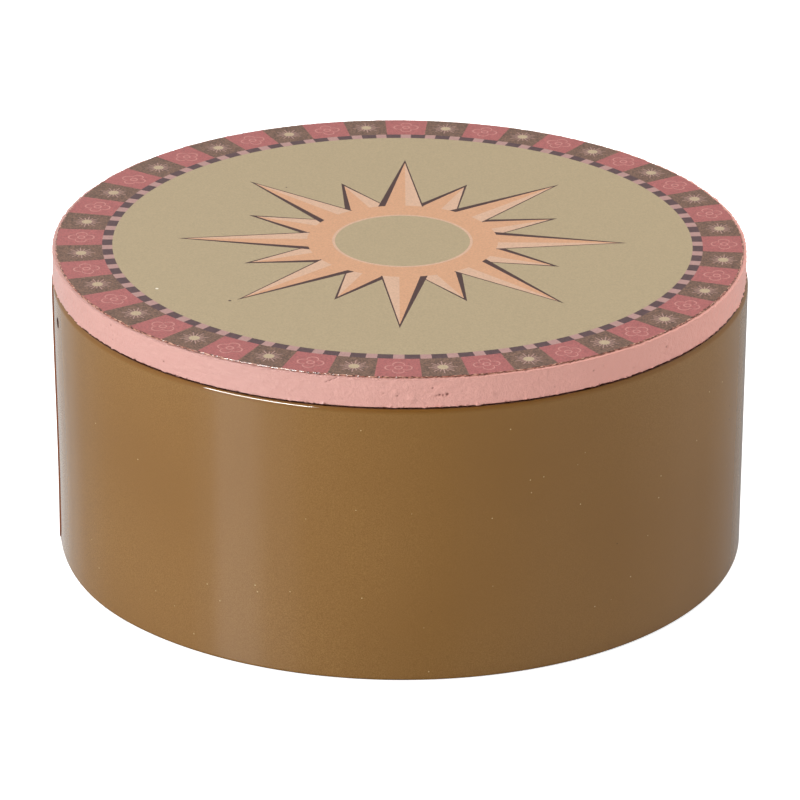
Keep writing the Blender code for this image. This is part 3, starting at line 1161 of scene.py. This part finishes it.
def make_floor():
    """A pale table. The tin's gloss sees the studio in its polish; the camera doesn't."""
    mesh = bpy.data.meshes.new("floor")
    corners = [(x * FLOOR_HALF, y * FLOOR_HALF, 0) for x, y in ((-1, -1), (1, -1), (1, 1), (-1, 1))]
    mesh.from_pydata(corners, [], [(0, 1, 2, 3)])
    floor = bpy.data.objects.new("floor", mesh)
    bpy.context.scene.collection.objects.link(floor)
    finish = Finish("pale_floor")
    rays = finish.add("LightPath")
    glow = finish.maths("MULTIPLY", rays.outputs["Is Camera Ray"], FLOOR_GLOW)
    finish.set(Base_Color=FLOOR_COLOUR, Roughness=0.9, Specular_IOR_Level=0.1)
    finish.set(Emission_Color=WHITE, Emission_Strength=glow)
    slant = finish.add("LayerWeight").outputs["Facing"]
    mirror = finish.spread(slant, 1 - STEEPEST_MIRRORED, 1 - FULLY_MIRRORED, 0.0, FLOOR_MIRROR_SHARE)
    polish = finish.add("BsdfGlossy", Color=mirror, Roughness=FLOOR_POLISH)
    haze = finish.add("Emission", Strength=FLOOR_HAZE)
    in_gloss = finish.add("AddShader")
    finish.give(in_gloss.inputs[0], polish.outputs["BSDF"])
    finish.give(in_gloss.inputs[1], haze.outputs["Emission"])
    choice = finish.add("MixShader", Fac=rays.outputs["Is Glossy Ray"])
    finish.give(choice.inputs[1], finish.shader.outputs["BSDF"])
    finish.give(choice.inputs[2], in_gloss.outputs["Shader"])
    finish.fill(finish.nodes["Material Output"], Surface=choice.outputs["Shader"])
    mesh.materials.append(finish.material)


def make_world():
    """White to the camera, a plain soft studio to everything else."""
    world = bpy.data.worlds.new("studio")
    bpy.context.scene.world = world
    graph = Graph(world)
    rays = graph.add("LightPath")
    direction = graph.add("TexCoord").outputs["Generated"]
    in_gloss = graph.spread(rays.outputs["Is Glossy Ray"], 0.0, 1.0, 1.0, GLOSS_SHARE)
    seen = graph.scaled(studio_level(graph, direction), in_gloss)
    colour = graph.mix(rays.outputs["Is Camera Ray"], seen, WHITE)
    graph.fill(graph.nodes["Background"], Color=colour, Strength=1.0)


def add_softbox(name, azimuth, elevation, width, height, power, in_gloss):
    """A flat soft light that faces the tin. Azimuth is in degrees from +X."""
    turn = math.radians(azimuth)
    rise = math.radians(elevation)
    direction = Vector((*polar(math.cos(rise), turn), math.sin(rise)))
    data = bpy.data.lights.new(name, "AREA")
    data.shape = "RECTANGLE"
    data.size = width
    data.size_y = height
    data.energy = power
    light = bpy.data.objects.new(name, data)
    bpy.context.scene.collection.objects.link(light)
    light.visible_glossy = in_gloss
    light.location = LIGHT_TARGET + direction * LIGHT_DISTANCE
    light.rotation_mode = "QUATERNION"
    light.rotation_quaternion = (-direction).to_track_quat("-Z", "Y")


# Azimuth and elevation in degrees, width and height in metres, power in watts, whether a gloss shows it
SOFTBOXES = {
    "key": (220, 42, 0.50, 0.12, 4.0, True),
    "back": (38, 30, 0.7, 0.5, 5.4, False),
    "left": (150, 25, 0.7, 0.5, 1.1, False),
}


# The camera, from a fit to the outlines in the photograph
CAMERA_PLACE = Vector((0, -1.0120, 0.4740))
CAMERA_PITCH = 0.41305
CAMERA_ROLL = math.radians(0.41)
FOCAL_SHARE = 5077 / 800  # focal length over the picture's width
SENSOR_WIDTH = 36.0
SHIFT_SHARE = (400 - 398.46) / 800


def make_camera():
    data = bpy.data.cameras.new("camera")
    data.sensor_fit = "HORIZONTAL"
    data.sensor_width = SENSOR_WIDTH
    data.lens = SENSOR_WIDTH * FOCAL_SHARE
    data.shift_x = SHIFT_SHARE
    camera = bpy.data.objects.new("camera", data)
    bpy.context.scene.collection.objects.link(camera)
    forward = Vector((0, math.cos(CAMERA_PITCH), -math.sin(CAMERA_PITCH)))
    level = Vector((1, 0, 0))
    upward = level.cross(forward)
    across = math.cos(CAMERA_ROLL) * level + math.sin(CAMERA_ROLL) * upward
    upright = -math.sin(CAMERA_ROLL) * level + math.cos(CAMERA_ROLL) * upward
    turned = Matrix((across, upright, -forward)).transposed().to_4x4()
    camera.matrix_world = Matrix.Translation(CAMERA_PLACE) @ turned
    bpy.context.scene.camera = camera


def main():
    bronze = make_bronze("bronze_paint")
    pink = make_pink()
    inks = {name: make_ink(name, shown) for name, shown in INKS.items()}
    cut_edge = make_cut_edge("cut_steel_edge", CUT_BROWN, CUT_DARK)
    make_wall(bronze, cut_edge, make_cut_edge("hole_side", CUT_DARK, HOLE_SHADE))
    make_base(bronze)
    make_board(pink)
    make_sheet(make_frayed_paper())
    make_print(inks)
    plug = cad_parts["lid_plug"]
    plug.data.materials.clear()
    plug.data.materials.append(pink)
    make_floor()
    make_world()
    for name, settings in SOFTBOXES.items():
        add_softbox(name, *settings)
    make_camera()
    bpy.context.scene.view_settings.view_transform = "Standard"


main()
